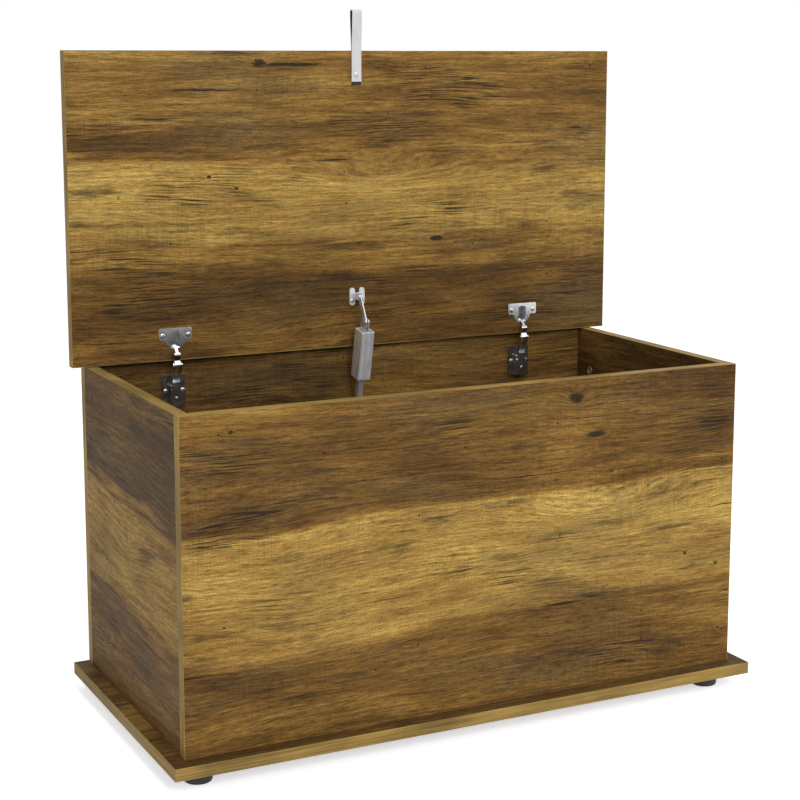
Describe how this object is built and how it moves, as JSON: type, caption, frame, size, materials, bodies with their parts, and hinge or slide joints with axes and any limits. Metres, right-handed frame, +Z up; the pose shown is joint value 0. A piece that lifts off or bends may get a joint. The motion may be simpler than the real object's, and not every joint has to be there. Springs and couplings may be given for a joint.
{
  "type": "blanket chest",
  "caption": "Lidded storage chest of wood-look board on low round feet, with an overhanging base and lid, concealed hinges, a telescopic lid stay and a pull strap.",
  "frame": {"origin": "on the floor, under the middle of the base board", "axes": "+X along the chest to the right as seen from its front, +Y to the back panel, +Z up; the lid is drawn open, upright"},
  "size_m": [0.84, 0.42, 0.935],
  "materials": {
    "wood_foil": "satin printed oak foil on particle board",
    "edge_band": "satin edge banding, plainer and lighter than the boards",
    "foot_plastic": "black, matt",
    "dowel_wood": "plain beech",
    "cam_zinc": "die-cast zinc",
    "screw_steel": "zinc plated",
    "hinge_nickel": "nickel plated pressed steel",
    "stay_steel": "satin plated steel",
    "slider_plastic": "black nylon",
    "pull_strap": "light grey, flexible strip"
  },
  "bodies": {
    "box": {"back_panel": "wood_foil", "back_panel_edging": "edge_band", "base_board": "wood_foil", "base_dowels": "dowel_wood", "base_edging": "edge_band", "base_screws": "screw_steel", "cam_bolts": "screw_steel", "cams": "cam_zinc", "corner_dowels": "dowel_wood", "foot_back_left": "foot_plastic", "foot_back_right": "foot_plastic", "foot_front_left": "foot_plastic", "foot_front_right": "foot_plastic", "foot_screws": "screw_steel", "front_panel": "wood_foil", "front_panel_edging": "edge_band", "hinge_arm_left": "hinge_nickel", "hinge_arm_right": "hinge_nickel", "hinge_arm_screws": "screw_steel", "hinge_link_pins": "hinge_nickel", "hinge_plate_left": "hinge_nickel", "hinge_plate_right": "hinge_nickel", "hinge_plate_screws": "screw_steel", "left_side_edging": "edge_band", "left_side_panel": "wood_foil", "right_side_edging": "edge_band", "right_side_panel": "wood_foil", "stay_foot_pin": "stay_steel", "stay_wall_bracket": "stay_steel", "stay_wall_screws": "screw_steel"},
    "hinge_pins": {"hinge_lever_pins": "hinge_nickel"},
    "hinge_links": {"hinge_link_left": "hinge_nickel", "hinge_link_right": "hinge_nickel"},
    "lid": {"lid_board": "wood_foil", "lid_edging": "edge_band", "hinge_cup_left": "hinge_nickel", "hinge_cup_right": "hinge_nickel", "hinge_cup_screws": "screw_steel", "stay_lid_bracket": "stay_steel", "stay_lid_screws": "screw_steel", "stay_lid_rivets": "stay_steel", "pull_strap": "pull_strap", "strap_screw": "screw_steel"},
    "stay_rail": {"stay_rail": "stay_steel", "stay_slider": "slider_plastic"},
    "stay_housing": {"stay_housing": "stay_steel", "stay_head": "stay_steel", "stay_elbow_pin": "stay_steel"},
    "stay_arm": {"stay_arm": "stay_steel"}
  },
  "joints": [
    {"name": "hinge_pins_turn", "type": "hinge", "parent": "box", "child": "hinge_pins", "pos_m": [0, 0.17786, 0.42117], "axis": [1, 0, 0], "range_deg": [-44.9, 0]},
    {"name": "lid_turn", "type": "hinge", "parent": "hinge_pins", "child": "lid", "pos_m": [0, 0.172, 0.464], "axis": [1, 0, 0], "range_deg": [0, 134.1]},
    {"name": "hinge_links_turn", "type": "hinge", "parent": "box", "child": "hinge_links", "pos_m": [0, 0.168, 0.4523], "axis": [1, 0, 0], "range_deg": [-40.2, 0]},
    {"name": "stay_rail_turn", "type": "hinge", "parent": "box", "child": "stay_rail", "pos_m": [0, 0.17361, 0.3593], "axis": [1, 0, 0], "range_deg": [-11.5, 0]},
    {"name": "stay_housing_slide", "type": "slide", "parent": "stay_rail", "child": "stay_housing", "axis": [0, 0.2079, -0.9781], "range_m": [0, 0.0488]},
    {"name": "stay_arm_turn", "type": "hinge", "parent": "stay_housing", "child": "stay_arm", "pos_m": [0, 0.1445, 0.49624], "axis": [1, 0, 0], "range_deg": [0, 140.7]}
  ],
  "couplings": [
    {"joint": "hinge_pins_turn", "follows": "lid_turn", "ratio": -0.33333},
    {"joint": "hinge_links_turn", "follows": "lid_turn", "ratio": -0.29829},
    {"joint": "stay_rail_turn", "follows": "lid_turn", "ratio": -0.084914},
    {"joint": "stay_housing_slide", "follows": "lid_turn", "m_per_rad": 0.020769},
    {"joint": "stay_arm_turn", "follows": "lid_turn", "ratio": 1.0477}
  ]
}
